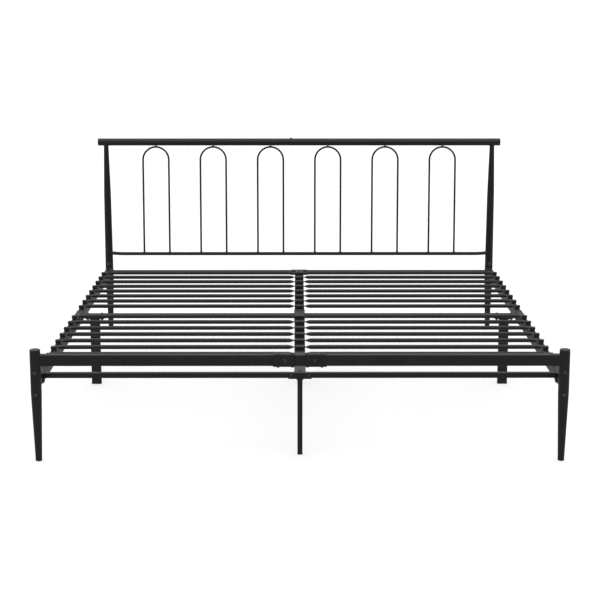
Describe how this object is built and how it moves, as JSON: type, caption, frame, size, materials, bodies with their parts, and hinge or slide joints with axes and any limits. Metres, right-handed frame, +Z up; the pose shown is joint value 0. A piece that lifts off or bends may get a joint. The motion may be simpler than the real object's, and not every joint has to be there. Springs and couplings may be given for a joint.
{
  "type": "metal bed frame",
  "caption": "Slatted steel bed frame with tapered round legs, an arched rod headboard, a low foot rail and a legged centre beam.",
  "frame": {"origin": "on the floor, midway between the four corner legs: the bottom centre of the bounding box", "axes": "+Y towards the headboard, along the bed's length; +X to the right seen from the foot end; +Z up"},
  "size_m": [1.906, 2.096, 0.925],
  "materials": {
    "frame_paint": "fine textured satin black powder coat",
    "bracket_paint": "satin black powder coat",
    "inner_steel": "bare steel, hidden inside the joints",
    "slat_paint": "satin black powder coat",
    "plug_plastic": "moulded black plastic, slightly satin",
    "seat_plastic": "moulded black plastic",
    "glide_plastic": "moulded black plastic",
    "bolt_steel": "black oxide socket screws",
    "nut_steel": "black oxide nuts"
  },
  "bodies": {
    "root": {"foot_leg_left": "frame_paint", "foot_leg_right": "frame_paint", "headboard_post_left": "frame_paint", "headboard_post_right": "frame_paint", "top_rail_left": "frame_paint", "top_rail_right": "frame_paint", "lower_rail_left": "frame_paint", "lower_rail_right": "frame_paint", "headboard_arch_1": "frame_paint", "headboard_arch_2": "frame_paint", "headboard_arch_3": "frame_paint", "headboard_arch_4": "frame_paint", "headboard_arch_5": "frame_paint", "headboard_arch_6": "frame_paint", "foot_rail_left": "frame_paint", "foot_rail_right": "frame_paint", "foot_rail_connector": "frame_paint", "side_rail_foot_left": "frame_paint", "side_rail_foot_right": "frame_paint", "side_rail_head_left": "frame_paint", "side_rail_head_right": "frame_paint", "foot_cross_left": "frame_paint", "foot_cross_right": "frame_paint", "mid_cross_left": "frame_paint", "mid_cross_right": "frame_paint", "head_cross_left": "frame_paint", "head_cross_right": "frame_paint", "centre_beam_foot": "frame_paint", "centre_beam_head": "frame_paint", "centre_leg_foot": "frame_paint", "centre_leg_mid": "frame_paint", "centre_leg_head": "frame_paint", "mid_leg_left": "frame_paint", "mid_leg_right": "frame_paint", "foot_rail_clamps": "bracket_paint", "side_rail_splices": "bracket_paint", "foot_bracket": "bracket_paint", "head_bracket": "bracket_paint", "mid_plate_top": "bracket_paint", "mid_plate_bottom": "bracket_paint", "top_rail_joint": "inner_steel", "lower_rail_pin": "inner_steel", "side_rail_inserts": "inner_steel", "cross_joint_bars": "inner_steel", "slats_foot_left": "slat_paint", "slats_foot_right": "slat_paint", "slats_head_left": "slat_paint", "slats_head_right": "slat_paint", "top_rail_caps": "plug_plastic", "leg_caps": "plug_plastic", "slat_caps": "seat_plastic", "slat_holders": "seat_plastic", "floor_glides": "glide_plastic", "leg_bolts": "bolt_steel", "joint_bolts": "bolt_steel", "plate_screws": "bolt_steel", "mid_leg_bolts": "bolt_steel", "leg_nuts": "nut_steel", "joint_nuts": "nut_steel", "mid_leg_nuts": "nut_steel"}
  },
  "joints": []
}
